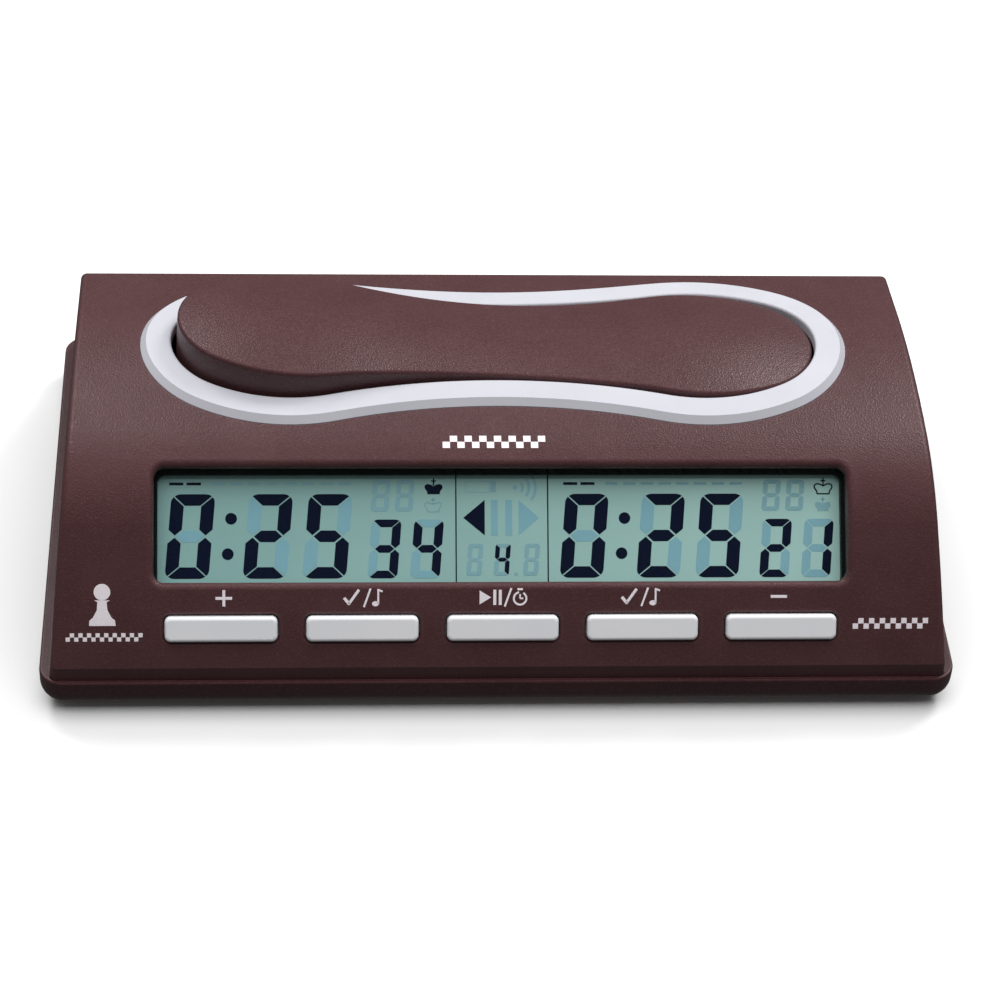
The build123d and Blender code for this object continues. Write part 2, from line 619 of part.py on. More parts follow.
def zebra_strips():
    """Rubber connectors along the long edges of the glass."""
    back = -BOARD_DEPTH
    strips = Part()
    for side in (-1, 1):
        y = side * (WINDOW_HEIGHT / 2 - 2.5)
        strips += plate(ZEBRA_LENGTH, 2.0, back, back + ZEBRA_HEIGHT, 0, (0, y))
    return display_plane() * strips


def main_board():
    """Circuit board behind the display, screwed to four posts."""
    height = BOARD_HIGH - BOARD_LOW
    board = plate(BOARD_WIDTH, height, -BOARD_DEPTH - BOARD_THICK, -BOARD_DEPTH, 1.0,
                  (0, (BOARD_HIGH + BOARD_LOW) / 2))
    for x, y in BOARD_POSTS:
        board -= post(x, y, -BOARD_DEPTH - 5, 0, SMALL_SCREW_RADIUS + 0.1)
    return display_plane() * board


def controller_chip():
    back = -BOARD_DEPTH - BOARD_THICK
    chip = plate(14, 10, back - 1.2, back, 0.4, (-20, 0))
    return display_plane() * chip


def clock_crystal():
    """Small metal can that keeps the time."""
    back = -BOARD_DEPTH - BOARD_THICK
    can = Pos(8, 2, back - 1.1) * Rot(0, 90, 0) * Cylinder(1.0, 6.0)
    return display_plane() * fillet(can.edges(), 0.3)


# ---------------------------------------------------------------- keys
def key_cap(x):
    """Pale key with a softly domed top, a flange behind the face and a stem."""
    flange_top = -WALL - FIT
    flange_bottom = flange_top - KEY_FLANGE
    cap = plate(KEY_WIDTH, KEY_HEIGHT, flange_bottom, KEY_PROUD, KEY_CORNER)
    rim = cap.edges().filter_by(lambda edge: edge.center().Z > KEY_PROUD - 0.01)
    cap = fillet(rim, KEY_DOME)
    cap += plate(KEY_WIDTH + 1.2, KEY_HEIGHT + 1.6, flange_bottom, flange_top, KEY_CORNER)
    cap += post(0, 0, KEY_STEM_END, flange_bottom, 1.6)
    return key_plane(x) * cap


def key_plunger(x):
    """Plunger of the switch under one key; it moves with the key."""
    button = post(0, 0, KEY_STEM_END - 1.6, KEY_STEM_END, 1.0)
    return key_plane(x) * fillet(button.edges().sort_by(Axis.Z)[-1], 0.2)


def key_board():
    back = -KEY_BOARD_DEPTH
    board = plate(KEY_BOARD_WIDTH, KEY_BOARD_HEIGHT, back - KEY_BOARD_THICK, back, 0.8)
    for x in KEY_POSTS:
        board -= post(x, 0, back - 3, back + 1, SMALL_SCREW_RADIUS + 0.1)
    return key_plane(0) * board


def key_switches():
    """Five small push switches on the key board."""
    back = -KEY_BOARD_DEPTH
    switches = Part()
    for index in range(KEY_COUNT):
        body = plate(6.0, 3.6, back, back + KEY_SWITCH_HEIGHT, 0.3)
        body -= post(0, 0, back + 0.2, 0, 1.0 + FIT)
        switches += key_plane(key_x(index)) * body
    return switches


# ---------------------------------------------------------------- battery, sound and fixings
def battery_cell():
    """AA cell with its raised terminal towards +X."""
    can = Rot(0, 90, 0) * Cylinder(CELL_RADIUS, CELL_LENGTH)
    can = fillet(can.edges(), 0.6)
    nub = Pos(CELL_LENGTH / 2 + 0.5, 0, 0) * Rot(0, 90, 0) * Cylinder(2.75, 1.0)
    return Pos(CELL_SHIFT, CELL_Y, CELL_Z) * (can + nub)


def battery_plate():
    """Flat contact at the raised terminal, with a solder tab above the bay."""
    x = CELL_SHIFT + CELL_LENGTH / 2 + 1.0
    contact = block(x, x + CONTACT_THICK, CELL_Y - 5, CELL_Y + 5, CELL_Z - 5.5, CELL_Z + 6)
    return contact


def battery_spring():
    """Coiled contact at the flat end of the cell, joined to a flat plate."""
    x = CELL_SHIFT - CELL_LENGTH / 2
    plate_x = -BAY_HALF_LENGTH + 0.05
    length = x - plate_x - CONTACT_THICK - 2 * SPRING_WIRE
    coil = Helix(pitch=length / 2.5, height=length, radius=3.6)
    wire = sweep(Plane(coil @ 0, z_dir=coil % 0) * Circle(SPRING_WIRE), path=coil)
    foot = plate_x + CONTACT_THICK + SPRING_WIRE / 2
    wire = Pos(foot, CELL_Y, CELL_Z) * Rot(0, 90, 0) * wire
    contact = block(plate_x, plate_x + CONTACT_THICK, CELL_Y - 5, CELL_Y + 5, CELL_Z - 5.5, CELL_Z + 6)
    return contact + wire


def battery_cover():
    """Flat lid under the cell, held by two tongues over the bay's ledge."""
    back = CELL_Y + BAY_HALF_DEPTH
    front = CELL_Y - BAY_HALF_DEPTH
    lid = block(-cover_half_length(), cover_half_length(), front - COVER_LIP, back + COVER_LIP,
                FOOT_HEIGHT, FOOT_HEIGHT + COVER_THICK)
    lid = fillet(lid.edges().filter_by(Axis.Z), 1.5)
    for index in range(5):
        y = front - 1 + index * 1.6
        lid -= block(-7, 7, y, y + 0.7, FOOT_HEIGHT - 1, FOOT_HEIGHT + 0.4)
    for side in (-1, 1):
        x = side * 18.0
        neck = block(x - 4, x + 4, back - 1.4, back - 0.3, FOOT_HEIGHT + 1, FLOOR_TOP + 1.1)
        lid += neck + block(x - 4, x + 4, back - 1.4, back + TONGUE_LENGTH, FLOOR_TOP + FIT, FLOOR_TOP + 1.1)
    return lid


def buzzer():
    x, y = BUZZER
    can = post(x, y, FLOOR_TOP, FLOOR_TOP + 4.5, BUZZER_RADIUS)
    can = fillet(can.edges().sort_by(Axis.Z)[-1], 0.5)
    return can - post(x, y, FLOOR_TOP + 3.5, FLOOR_TOP + 6, 1.2)


def small_screw():
    """Board screw: head below z = 0, shank above."""
    head = post(0, 0, -1.3, 0, SMALL_HEAD_RADIUS)
    head -= block(-1.1, 1.1, -0.25, 0.25, -2, -0.7)
    head -= block(-0.25, 0.25, -1.1, 1.1, -2, -0.7)
    return head + post(0, 0, 0, 4.6, SMALL_SCREW_RADIUS)


def board_screws():
    """The screws of all three circuit boards."""
    screws = Part()
    for x, y in BOARD_POSTS:
        screws += display_plane() * Pos(x, y, -BOARD_DEPTH - BOARD_THICK) * small_screw()
    for x in KEY_POSTS:
        screws += key_plane(x) * Pos(0, 0, -KEY_BOARD_DEPTH - KEY_BOARD_THICK) * small_screw()
    for side in (-1, 1):
        top = Pos(side * SWITCH_POST_X, RING_Y, SWITCH_BOARD_Z + KEY_BOARD_THICK)
        screws += top * Rot(180, 0, 0) * small_screw()
    return screws


# ---------------------------------------------------------------- export
def all_parts():
    parts = {
        "base_tray": base_tray(),
        "top_shell": top_shell(),
        "trim_ring": trim_ring(),
        "rocker": rocker(),
        "rocker_pin": rocker_pin(),
        "stop_pads": stop_pads(),
        "switch_board": switch_board(),
        "switch_housing_left": switch_housing(-1),
        "switch_housing_right": switch_housing(1),
        "switch_plunger_left": switch_plunger(-1),
        "switch_plunger_right": switch_plunger(1),
        "display_window": display_window(),
        "display_mask": display_mask(),
        "display_glass_front": display_layer(0, GLASS_THICK, 0),
        "display_glass_back": display_layer(1, GLASS_THICK, 2.4),
        "display_reflector": display_layer(2, REFLECTOR_THICK, 2.4),
        "zebra_strips": zebra_strips(),
        "main_board": main_board(),
        "controller_chip": controller_chip(),
        "clock_crystal": clock_crystal(),
        "key_board": key_board(),
        "key_switches": key_switches(),
        "battery_cell": battery_cell(),
        "battery_plate": battery_plate(),
        "battery_spring": battery_spring(),
        "battery_cover": battery_cover(),
        "buzzer": buzzer(),
        "rubber_feet": rubber_feet(),
        "case_screws": case_screws(),
        "board_screws": board_screws(),
    }
    for index, name in enumerate(KEY_NAMES):
        parts["key_" + name] = key_cap(key_x(index))
        parts["plunger_" + name] = key_plunger(key_x(index))
    return parts


os.makedirs("parts", exist_ok=True)
for node, shape in all_parts().items():
    export_step(shape, f"parts/{node}.step")
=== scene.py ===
from math import ceil, cos, degrees, radians, sin, tan

import bmesh
import bpy
from mathutils import Matrix, Vector
from mathutils.bvhtree import BVHTree


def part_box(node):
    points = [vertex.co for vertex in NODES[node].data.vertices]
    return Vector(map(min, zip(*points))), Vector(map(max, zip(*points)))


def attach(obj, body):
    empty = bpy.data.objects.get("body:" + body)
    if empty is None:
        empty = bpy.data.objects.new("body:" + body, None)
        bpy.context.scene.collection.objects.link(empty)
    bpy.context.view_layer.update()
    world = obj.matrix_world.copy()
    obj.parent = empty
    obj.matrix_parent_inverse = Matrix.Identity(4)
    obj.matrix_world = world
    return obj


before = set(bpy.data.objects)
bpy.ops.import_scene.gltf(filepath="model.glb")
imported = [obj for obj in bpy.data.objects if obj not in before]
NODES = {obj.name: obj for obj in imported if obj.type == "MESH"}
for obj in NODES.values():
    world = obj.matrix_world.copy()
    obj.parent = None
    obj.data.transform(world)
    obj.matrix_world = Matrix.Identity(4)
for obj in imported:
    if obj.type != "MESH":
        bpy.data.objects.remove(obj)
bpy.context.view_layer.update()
MM = 0.001
ALONG = Vector((1, 0, 0))   # the clock's length, and the x axis of everything drawn on it

# The camera, in metres and degrees: it looks down at the display side from a little to the left.
CAMERA_TARGET = Vector((0.0003, -0.014, 0.020))
CAMERA_DISTANCE = 0.550
CAMERA_AZIMUTH = -5.06
CAMERA_ELEVATION = 41.99
CAMERA_ROLL = 3.31
CAMERA_LENS = 104.1
CAMERA_SHIFT = 0.004

# Printed marks, in millimetres.
MARK_Z = 22.05              # height of the key symbols on the face
MARK_GATHER = 0.99          # the key symbols stand a little nearer the middle than their keys
INK_THICK = 0.06            # from a mark's underside to its top
INK_SUNK = 0.02             # how far a mark's underside sits below the surface
INK_STEP = 0.7              # longest stretch of a mark's outline that crosses the surface straight

FLOOR_Z = -0.02             # in millimetres, just under the soles, which would flicker on a floor at 0

# The liquid crystal, in millimetres on the glass; x from the middle, y up the slope.
BLOCK_STARTS = (-61.6, 10.75)   # left edge of the first digit of each player's block
SLANT = 4.6                 # lean of the digits, in degrees
WIDEN = 1.15                # upright segments are this much wider than level ones
DIGIT_LOW = -9.5            # foot of the minutes and seconds
MINUTE_SIZE = (8.0, 15.5, 2.1)      # width, height and stroke of a digit
SECOND_SIZE = (5.45, 10.8, 1.4)
COUNTER_SIZE = (3.3, 5.8, 0.8)
CENTRE_SIZE = (2.8, 5.85, 0.72)
CENTRE_LOW = -9.05          # foot of the counter in the middle
DASH_LOW = 7.65
DASH_HIGH = 8.15
ARROW_LOW = -1.65
ARROW_TIP = 1.6
ARROW_HIGH = 4.9
BATTERY_LOW = 6.3
BATTERY_HIGH = 8.3
SOUND_PLACE = (2.6, 7.2)
DIVIDERS = (-8.3, 8.65)

# Reach and half the thickness of the plus and minus, in millimetres.
SIGN_REACH = 1.5
SIGN_HALF = 0.26


# ---------------------------------------------------------------- materials
def srgb(red, green, blue):
    """Linear RGBA of an 8-bit screen colour."""
    def linear(value):
        value /= 255
        return value / 12.92 if value <= 0.04045 else ((value + 0.055) / 1.055) ** 2.4
    return (linear(red), linear(green), linear(blue), 1.0)


class Surface:
    """A Principled material under construction, with object coordinates in millimetres."""

    def __init__(self, name, **settings):
        self.material = bpy.data.materials.new(name)
        self.material.use_nodes = True
        self.tree = self.material.node_tree
        self.shader = self.tree.nodes["Principled BSDF"]
        for socket, value in settings.items():
            self.shader.inputs[socket.replace("_", " ")].default_value = value
        coordinates = self.tree.nodes.new("ShaderNodeTexCoord")
        scale = self.tree.nodes.new("ShaderNodeVectorMath")
        scale.operation = "SCALE"
        scale.inputs["Scale"].default_value = 1 / MM
        self.link(coordinates.outputs["Object"], scale.inputs[0])
        self.place = scale.outputs[0]

    def link(self, source, target):
        self.tree.links.new(source, target)

    def noise(self, size, detail=2.0, stretch=None):
        """Noise whose features are about size millimetres across, squeezed along each axis by stretch."""
        node = self.tree.nodes.new("ShaderNodeTexNoise")
        node.inputs["Scale"].default_value = 1 / size
        node.inputs["Detail"].default_value = detail
        if stretch is None:
            self.link(self.place, node.inputs["Vector"])
        else:
            mapping = self.tree.nodes.new("ShaderNodeMapping")
            mapping.inputs["Scale"].default_value = stretch
            self.link(self.place, mapping.inputs["Vector"])
            self.link(mapping.outputs[0], node.inputs["Vector"])
        return node.outputs["Fac"]

    def cells(self, size):
        """Distance to the nearest of a scatter of points about size millimetres apart."""
        node = self.tree.nodes.new("ShaderNodeTexVoronoi")
        node.inputs["Scale"].default_value = 1 / size
        self.link(self.place, node.inputs["Vector"])
        return node.outputs["Distance"]

    def along_x(self, start, end):
        """0 up to one x in millimetres, 1 beyond another."""
        split = self.tree.nodes.new("ShaderNodeSeparateXYZ")
        self.link(self.place, split.inputs[0])
        return self.remap(split.outputs["X"], 0.0, 1.0, start, end)

    def remap(self, source, low, high, from_low=0.3, from_high=0.7):
        """Spread a value between two limits."""
        node = self.tree.nodes.new("ShaderNodeMapRange")
        node.inputs["From Min"].default_value = from_low
        node.inputs["From Max"].default_value = from_high
        node.inputs["To Min"].default_value = low
        node.inputs["To Max"].default_value = high
        self.link(source, node.inputs["Value"])
        return node.outputs["Result"]

    def mix(self, factor, first, second):
        """Blend two colours by a factor; each may be a colour or a socket."""
        node = self.tree.nodes.new("ShaderNodeMix")
        node.data_type = "RGBA"
        self.link(factor, node.inputs["Factor"])
        for value, socket in ((first, node.inputs[6]), (second, node.inputs[7])):
            if isinstance(value, tuple):
                socket.default_value = value
            else:
                self.link(value, socket)
        return node.outputs[2]

    def worn_and_highlit_edges(self, radius, most):
        """Up to most along sharp edges, fading to 0 on flats."""
        bevel = self.tree.nodes.new("ShaderNodeBevel")
        bevel.samples = 4
        bevel.inputs["Radius"].default_value = radius * MM
        geometry = self.tree.nodes.new("ShaderNodeNewGeometry")
        dot = self.tree.nodes.new("ShaderNodeVectorMath")
        dot.operation = "DOT_PRODUCT"
        self.link(bevel.outputs["Normal"], dot.inputs[0])
        self.link(geometry.outputs["Normal"], dot.inputs[1])
        return self.remap(dot.outputs["Value"], most, 0.0, 0.9, 1.0)

    def bump(self, height, depth, strength=1.0, under=None):
        """Raise the surface by height times depth millimetres, over an earlier bump if one is given."""
        node = self.tree.nodes.new("ShaderNodeBump")
        node.inputs["Strength"].default_value = strength
        node.inputs["Distance"].default_value = depth * MM
        self.link(height, node.inputs["Height"])
        if under is not None:
            self.link(under, node.inputs["Normal"])
        self.link(node.outputs["Normal"], self.shader.inputs["Normal"])
        return node.outputs["Normal"]

    def colour(self, socket):
        self.link(socket, self.shader.inputs["Base Color"])

    def roughness(self, socket):
        self.link(socket, self.shader.inputs["Roughness"])


def grained_plastic(name, dark, light, edge, rough, grain_depth):
    """Spark-eroded moulded plastic: pebble grain, faint mottling, and sharp edges painted paler, partly as
    rubbed wear and partly as a painted edge highlight.
    """
    surface = Surface(name, Specular_IOR_Level=0.45)
    base = surface.mix(surface.remap(surface.noise(9.0, 3.0), 0.0, 1.0), dark, light)
    base = surface.mix(surface.remap(surface.noise(0.35, 1.0), 0.0, 0.35, 0.5, 0.75), base, edge)
    # Edges turn toward the pale edge colour: part rubbed wear, part painted highlight along the edges.
    surface.colour(surface.mix(surface.worn_and_highlit_edges(0.5, 0.5), base, edge))
    surface.roughness(surface.remap(surface.noise(0.8), rough - 0.06, rough + 0.08))
    pebbles = surface.bump(surface.cells(0.34), grain_depth, 0.9)
    surface.bump(surface.noise(0.22, 1.0), grain_depth / 2, 0.7, under=pebbles)
    return surface.material


def satin_plastic(name, base, shade, rough):
    """Smooth moulded plastic with a faint cloudiness and fine handling marks."""
    surface = Surface(name)
    surface.colour(surface.mix(surface.remap(surface.noise(14.0), 0.0, 1.0), base, shade))
    surface.roughness(surface.remap(surface.noise(2.5, 3.0), rough - 0.05, rough + 0.08))
    surface.bump(surface.noise(0.5), 0.004, 0.6)
    return surface.material


def rubber(name, base, shade):
    """Dull rubber with a fine matt skin."""
    surface = Surface(name, Specular_IOR_Level=0.35)
    surface.colour(surface.mix(surface.remap(surface.noise(1.5, 3.0), 0.0, 1.0), base, shade))
    surface.roughness(surface.remap(surface.noise(0.7), 0.7, 0.9))
    surface.bump(surface.noise(0.3), 0.02, 0.8)
    return surface.material


def plated_metal(name, base, shade, rough, stretch=None):
    """Bright metal with drawn or turned marks."""
    surface = Surface(name, Metallic=1.0)
    scratches = surface.noise(0.6, 3.0, stretch)
    surface.colour(surface.mix(surface.remap(scratches, 0.0, 1.0), base, shade))
    surface.roughness(surface.remap(scratches, rough - 0.08, rough + 0.12))
    surface.bump(scratches, 0.004, 0.5)
    return surface.material


def circuit_board(name):
    """Solder mask over buried tracks."""
    surface = Surface(name)
    tracks = surface.noise(1.8, 0.0, (1.0, 0.25, 0.25))
    lines = surface.remap(tracks, 0.0, 1.0, 0.49, 0.51)
    surface.colour(surface.mix(lines, srgb(16, 74, 44), srgb(30, 104, 62)))
    surface.roughness(surface.remap(surface.noise(3.0), 0.28, 0.42))
    surface.bump(lines, 0.03, 0.6)
    return surface.material


def clear_window(name):
    """Clear acrylic: lets nearly all light through, with faint hairlines in its gloss."""
    surface = Surface(name, Alpha=0.04)
    surface.colour(surface.mix(surface.noise(30.0), srgb(30, 44, 40), srgb(36, 50, 46)))
    surface.roughness(surface.remap(surface.noise(6.0, 3.0), 0.03, 0.07))
    surface.bump(surface.noise(0.4, 1.0, (1.0, 6.0, 6.0)), 0.0005, 0.2)
    return surface.material


def display_ground(name):
    """Pale green reflective liquid crystal with a faint cloud and a fine speckle, and painted light making
    it paler to the right.
    """
    surface = Surface(name, Specular_IOR_Level=0.2)
    cloud = surface.remap(surface.noise(22.0), 0.0, 1.0)
    left = surface.mix(cloud, srgb(152, 196, 192), srgb(159, 203, 199))
    right = surface.mix(cloud, srgb(180, 221, 214), srgb(187, 228, 221))
    # Painted light: the ground brightens from the left-hand end to the right-hand end.
    ground = surface.mix(surface.along_x(-40.0, 60.0), left, right)
    speckle = surface.remap(surface.noise(0.25), 0.0, 0.12)
    surface.colour(surface.mix(speckle, ground, srgb(140, 182, 176)))
    surface.roughness(surface.remap(surface.noise(5.0), 0.4, 0.5))
    surface.bump(surface.noise(0.2), 0.002, 0.5)
    return surface.material


def display_ink(name, base, shade):
    """A liquid crystal segment: an even tone with a very fine texture."""
    surface = Surface(name, Specular_IOR_Level=0.2)
    surface.colour(surface.mix(surface.remap(surface.noise(0.4), 0.0, 1.0), base, shade))
    surface.roughness(surface.remap(surface.noise(3.0), 0.4, 0.5))
    surface.bump(surface.noise(0.2), 0.001, 0.4)
    return surface.material


def printed_ink(name, base, shade):
    """Pad-printed ink that takes up the grain of the plastic under it."""
    surface = Surface(name, Specular_IOR_Level=0.3)
    surface.colour(surface.mix(surface.remap(surface.noise(0.6, 3.0), 0.0, 1.0), base, shade))
    surface.roughness(surface.remap(surface.noise(0.5), 0.5, 0.7))
    surface.bump(surface.cells(0.55), 0.012, 0.7)
    return surface.material


def cell_jacket(name):
    """Printed sleeve of the battery, dark with a copper-coloured end at the raised terminal."""
    surface = Surface(name)
    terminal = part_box("battery_cell")[1].x / MM
    band = surface.along_x(terminal - 14.0, terminal - 13.8)
    wear = surface.noise(2.0, 3.0)
    sleeve = surface.mix(band, srgb(38, 44, 60), srgb(190, 120, 50))
    surface.colour(surface.mix(surface.remap(wear, 0.0, 0.25), sleeve, srgb(90, 90, 95)))
    surface.roughness(surface.remap(wear, 0.2, 0.35))
    surface.bump(surface.noise(0.5), 0.003, 0.5)
    return surface.material


def pale_floor(name):
    """Smooth white paper sweep."""
    surface = Surface(name, Specular_IOR_Level=0.1)
    surface.colour(surface.mix(surface.noise(60.0), srgb(250, 250, 250), srgb(252, 252, 252)))
    surface.roughness(surface.remap(surface.noise(8.0), 0.85, 0.95))
    return surface.material


MAROON_DARK = srgb(76, 46, 48)
MAROON_LIGHT = srgb(81, 51, 53)
MAROON_EDGE = srgb(106, 74, 77)
TRAY_DARK = srgb(62, 33, 35)
TRAY_LIGHT = srgb(69, 38, 40)

MATERIALS = {
    "shell": grained_plastic("maroon_shell", MAROON_DARK, MAROON_LIGHT, MAROON_EDGE, 0.4, 0.055),
    "rocker": grained_plastic("maroon_rocker", MAROON_DARK, MAROON_LIGHT, MAROON_EDGE, 0.38, 0.05),
    "base": grained_plastic("maroon_base", TRAY_DARK, TRAY_LIGHT, MAROON_EDGE, 0.36, 0.02),
    "white": satin_plastic("white_plastic", srgb(204, 204, 212), srgb(199, 199, 207), 0.4),
    "keys": satin_plastic("grey_keys", srgb(252, 252, 255), srgb(247, 248, 252), 0.38),
    "black": satin_plastic("black_plastic", srgb(34, 34, 36), srgb(26, 26, 28), 0.5),
    # The dark mask is partly the display's real border and partly painted shadow: its band along the top
    # stands in for the shade under the window's upper lip.
    "mask": satin_plastic("display_mask", srgb(22, 30, 29), srgb(16, 22, 22), 0.6),
    "switch": satin_plastic("white_switch", srgb(226, 222, 210), srgb(214, 210, 198), 0.45),
    "rubber": rubber("black_rubber", srgb(34, 34, 35), srgb(44, 44, 46)),
    "zebra": rubber("zebra_rubber", srgb(120, 120, 124), srgb(70, 70, 74)),
    "steel": plated_metal("steel", srgb(190, 190, 192), srgb(160, 161, 165), 0.3, (1.0, 8.0, 1.0)),
    "tin": plated_metal("tin_metal", srgb(214, 214, 210), srgb(186, 186, 182), 0.25),
    "board": circuit_board("circuit_board"),
    "window": clear_window("clear_window"),
    "ground": display_ground("display_ground"),
    "segment_on": display_ink("segment_on", srgb(10, 18, 42), srgb(14, 22, 48)),
    "segment_off": display_ink("segment_off", srgb(138, 190, 204), srgb(144, 196, 208)),
    "segment_faint": display_ink("segment_faint", srgb(140, 188, 196), srgb(145, 193, 201)),
    "print": printed_ink("printed_ink", srgb(255, 248, 253), srgb(249, 240, 247)),
    "cell": cell_jacket("cell_jacket"),
    "floor": pale_floor("floor_paper"),
}

NODE_LOOKS = {
    "shell": ["top_shell"],
    "rocker": ["rocker"],
    "base": ["base_tray", "battery_cover"],
    "white": ["trim_ring"],
    "black": ["switch_housing_left", "switch_housing_right", "controller_chip", "buzzer", "key_switches"],
    "mask": ["display_mask"],
    "switch": ["switch_plunger_left", "switch_plunger_right"],
    "rubber": ["stop_pads", "rubber_feet"],
    "zebra": ["zebra_strips"],
    "steel": ["rocker_pin", "case_screws", "board_screws"],
    "tin": ["battery_plate", "battery_spring", "clock_crystal"],
    "board": ["main_board", "key_board", "switch_board"],
    "window": ["display_window"],
    "ground": ["display_glass_front", "display_glass_back", "display_reflector"],
    "cell": ["battery_cell"],
}
KEYS = ("plus", "confirm_left", "play_pause", "confirm_right", "minus")


def dress_nodes():
    """Give every CAD node its finish."""
    looks = {name: look for look, names in NODE_LOOKS.items() for name in names}
    for key in KEYS:
        looks["key_" + key] = "keys"
        looks["plunger_" + key] = "switch"
    for name, node in NODES.items():
        node.data.materials.clear()
        node.data.materials.append(MATERIALS[looks[name]])


# ---------------------------------------------------------------- flat artwork
def arc(x, y, radius, start, end, steps=16, squash=1.0):
    """Points along an arc between two angles in degrees."""
    angles = [radians(start + (end - start) * step / (steps - 1)) for step in range(steps)]
    return [(x + radius * cos(a), y + radius * squash * sin(a)) for a in angles]


class Artwork:
    """Flat shapes in millimetres, each a list of points, to be laid on a surface as thin slabs."""

    def __init__(self):
        self.shapes = []

    def polygon(self, points):
        self.shapes.append(points)

    def rectangle(self, x0, x1, y0, y1):
        self.polygon([(x0, y0), (x1, y0), (x1, y1), (x0, y1)])

    def bar(self, x0, y0, x1, y1, width):
        """A straight stroke with square ends."""
        along = Vector((x1 - x0, y1 - y0)).normalized() * width / 2
        self.polygon([(x0 + along.y, y0 - along.x), (x1 + along.y, y1 - along.x),
                      (x1 - along.y, y1 + along.x), (x0 - along.y, y0 + along.x)])

    def disc(self, x, y, radius, squash=1.0):
        self.polygon(arc(x, y, radius, 0, 350, 36, squash))

    def band(self, x, y, radius, width, start, turn):
        """Part of a ring, from a start angle through a turn, in degrees."""
        outer = arc(x, y, radius + width / 2, start, start + turn)
        inner = arc(x, y, radius - width / 2, start, start + turn)
        self.polygon(outer + inner[::-1])

    def outline(self, points, width):
        """A closed line through some points."""
        for (x0, y0), (x1, y1) in zip(points, points[1:] + points[:1]):
            self.bar(x0, y0, x1, y1, width)


def surface_tree(node):
    """Where rays meet a CAD node."""
    return BVHTree.FromObject(NODES[node], bpy.context.evaluated_depsgraph_get())


def spot_on(tree, x, z):
    """Where a level ray from the front meets a node, and the direction up the slope there."""
    hit, normal = tree.ray_cast(Vector((x * MM, -1.0, z * MM)), Vector((0, 1, 0)))[:2]
    return hit, normal.cross(ALONG).normalized()


def with_steps(shape):
    """The outline with points added, so that no stretch of it is longer than INK_STEP."""
    points = []
    for start, end in zip(shape, shape[1:] + shape[:1]):
        here = Vector(start)
        reach = Vector(end) - here
        steps = max(1, ceil(reach.length / INK_STEP))
        points += [here + reach * step / steps for step in range(steps)]
    return points


def slab(mesh, shape, tree, origin, up):
    """Add one flat shape to a mesh, following the surface under it."""
    normal = ALONG.cross(up)
    low = []
    high = []
    for x, y in with_steps(shape):
        above = origin + (ALONG * x + up * y + normal * 10) * MM
        hit = tree.ray_cast(above, -normal)[0]
        low.append(mesh.verts.new(hit - normal * INK_SUNK * MM))
        high.append(mesh.verts.new(hit + normal * (INK_THICK - INK_SUNK) * MM))
    mesh.faces.new(high)
    mesh.faces.new(low[::-1])
    for index in range(len(low)):
        after = (index + 1) % len(low)
        mesh.faces.new([low[index], low[after], high[after], high[index]])


def lay(name, artwork, tree, origin, up, look):
    """Turn artwork into thin slabs on a surface, at origin and with its y axis along up."""
    mesh = bmesh.new()
    for shape in artwork.shapes:
        slab(mesh, shape, tree, origin, up)
    bmesh.ops.recalc_face_normals(mesh, faces=mesh.faces)
    data = bpy.data.meshes.new(name)
    mesh.to_mesh(data)
    mesh.free()
    data.materials.append(MATERIALS[look])
    piece = bpy.data.objects.new(name, data)
    bpy.context.scene.collection.objects.link(piece)
    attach(piece, "case")


# ---------------------------------------------------------------- display
LIT = {"0": "abcdef", "1": "bc", "2": "abdeg", "3": "abcdg", "4": "bcfg", "5": "acdfg", " ": ""}


def segment_shapes(width, height, stroke):
    """The seven segments of an upright digit, with mitred joints and rounded outer corners."""
    gap = stroke * 0.1
    corner = stroke * 0.75
    mitre = gap / 2 ** 0.5
    turn = degrees(gap / 2 / corner)
    middle = height / 2

    def flip_x(points):
        return [(width - x, y) for x, y in points]

    def flip_y(points):
        return [(x, height - y) for x, y in points]

    rounding = arc(corner, height - corner, corner, 135 - turn, 90, 4)
    inside = height - stroke
    top = rounding + flip_x(rounding)[::-1] + [(width - stroke - mitre, inside), (stroke + mitre, inside)]
    shoulder = middle + stroke / 2 + gap
    upright = arc(corner, height - corner, corner, 135 + turn, 180, 4)
    upright += [(0, shoulder), (stroke / 2, middle + gap), (stroke, shoulder), (stroke, inside - mitre)]
    half = [(stroke / 2 + gap, middle), (stroke + gap, middle + stroke / 2)]
    bar = half + flip_x(half)[::-1] + flip_y(flip_x(half))[1:] + flip_y(half)[1:]
    return {
        "a": top, "b": flip_x(upright), "c": flip_y(flip_x(upright)), "d": flip_y(top),
        "e": flip_y(upright), "f": upright, "g": bar,
    }


def digit(on, off, character, x, y, width, height, stroke):
    """Draw one digit: its lit segments in the first artwork, its unlit ones in the second."""
    lean = tan(radians(SLANT))
    for name, points in segment_shapes(width / WIDEN, height, stroke).items():
        art = on if name in LIT[character] else off
        art.polygon([(x + px * WIDEN + py * lean, y + py) for px, py in points])


def king_shape(x, y, size):
    """Body of a plain king: a crown with two lobes over a narrower base."""
    right = [(0.36, 0.0), (0.36, 0.14), (0.52, 0.36), (0.5, 0.52), (0.36, 0.59), (0.16, 0.55), (0.0, 0.46)]
    left = [(-px, py) for px, py in right[-2::-1]]
    return [(x + px * size, y + py * size) for px, py in right + left]


def king(art, x, y, size, filled):
    """A plain king with a cross, filled in or drawn as a line."""
    line = size * 0.08
    if filled:
        art.polygon(king_shape(x, y, size))
    else:
        art.outline(king_shape(x, y, size), line)
    art.bar(x, y + size * 0.5, x, y + size * 0.92, line)
    art.bar(x - size * 0.14, y + size * 0.76, x + size * 0.14, y + size * 0.76, line)


